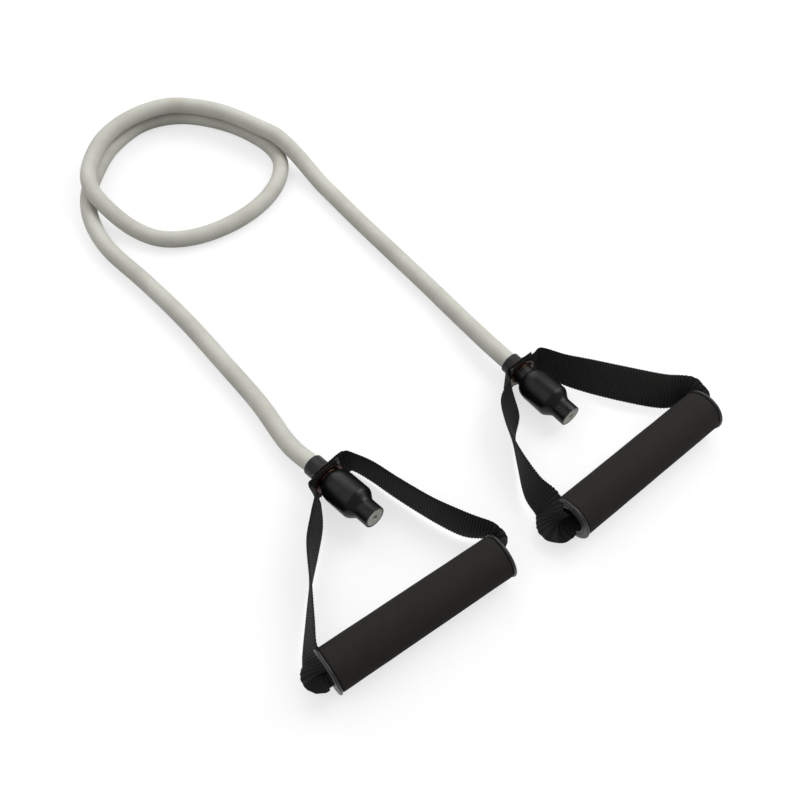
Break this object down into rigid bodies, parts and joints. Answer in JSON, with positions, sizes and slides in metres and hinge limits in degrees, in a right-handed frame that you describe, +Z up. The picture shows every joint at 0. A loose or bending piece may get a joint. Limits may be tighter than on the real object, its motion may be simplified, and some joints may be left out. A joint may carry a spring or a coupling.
{
  "type": "resistance band",
  "caption": "Elastic exercise tube laid in a loop, with a webbing handle and a foam grip swivelling on each plugged end.",
  "frame": {"origin": "on the floor, under the middle of the box that holds the two handles and the tube's two ends", "axes": "+X along the grips from the left handle to the right one, +Y from the handles towards the loop of tube, +Z up"},
  "size_m": [0.3286, 0.5249, 0.0315],
  "materials": {
    "latex": "matte, faintly dusty natural latex in warm grey",
    "boot_rubber": "semi-gloss moulded black rubber",
    "collar_rubber": "matte charcoal rubber sleeve",
    "webbing": "black ribbed webbing, ends heat sealed",
    "eyelet_metal": "dark bronzed, polished on the rolled edge",
    "grip_foam": "matte closed-cell foam",
    "cap_plastic": "satin moulded plastic",
    "core_plastic": "plain extruded pipe",
    "plug_plastic": "plain moulded plug"
  },
  "bodies": {
    "band": {"tube": "latex"},
    "left_end": {"left_collar": "collar_rubber", "left_boot": "boot_rubber", "left_plug": "plug_plastic"},
    "left_loop": {"left_strap": "webbing", "left_eyelet": "eyelet_metal", "left_washer": "eyelet_metal"},
    "left_grip": {"left_foam": "grip_foam", "left_core": "core_plastic", "left_cap_outer": "cap_plastic", "left_cap_inner": "cap_plastic"},
    "right_end": {"right_collar": "collar_rubber", "right_boot": "boot_rubber", "right_plug": "plug_plastic"},
    "right_loop": {"right_strap": "webbing", "right_eyelet": "eyelet_metal", "right_washer": "eyelet_metal"},
    "right_grip": {"right_foam": "grip_foam", "right_core": "core_plastic", "right_cap_outer": "cap_plastic", "right_cap_inner": "cap_plastic"}
  },
  "joints": [
    {"name": "left_stretch", "type": "slide", "parent": "band", "child": "left_end", "axis": [0.0698, -0.9976, 0], "range_m": [0, 0.26], "stiffness_N_per_m": 350, "deforming": ["tube"]},
    {"name": "left_swivel", "type": "hinge", "parent": "left_end", "child": "left_loop", "pos_m": [-0.081, 0.059, 0.013], "axis": [0.1378, -0.9806, 0.1392], "range_deg": [-120, 120]},
    {"name": "left_spin", "type": "hinge", "parent": "left_loop", "child": "left_grip", "pos_m": [-0.09, -0.051, 0.01575], "axis": [0.999, -0.0436, 0], "continuous": true},
    {"name": "right_stretch", "type": "slide", "parent": "band", "child": "right_end", "axis": [0.0349, -0.9994, 0], "range_m": [0, 0.26], "stiffness_N_per_m": 350, "deforming": ["tube"]},
    {"name": "right_swivel", "type": "hinge", "parent": "right_end", "child": "right_loop", "pos_m": [0.077, 0.046, 0.013], "axis": [0.0523, -0.998, 0.0349], "range_deg": [-120, 120]},
    {"name": "right_spin", "type": "hinge", "parent": "right_loop", "child": "right_grip", "pos_m": [0.092, -0.059, 0.01575], "axis": [0.999, 0.0436, 0], "continuous": true}
  ]
}
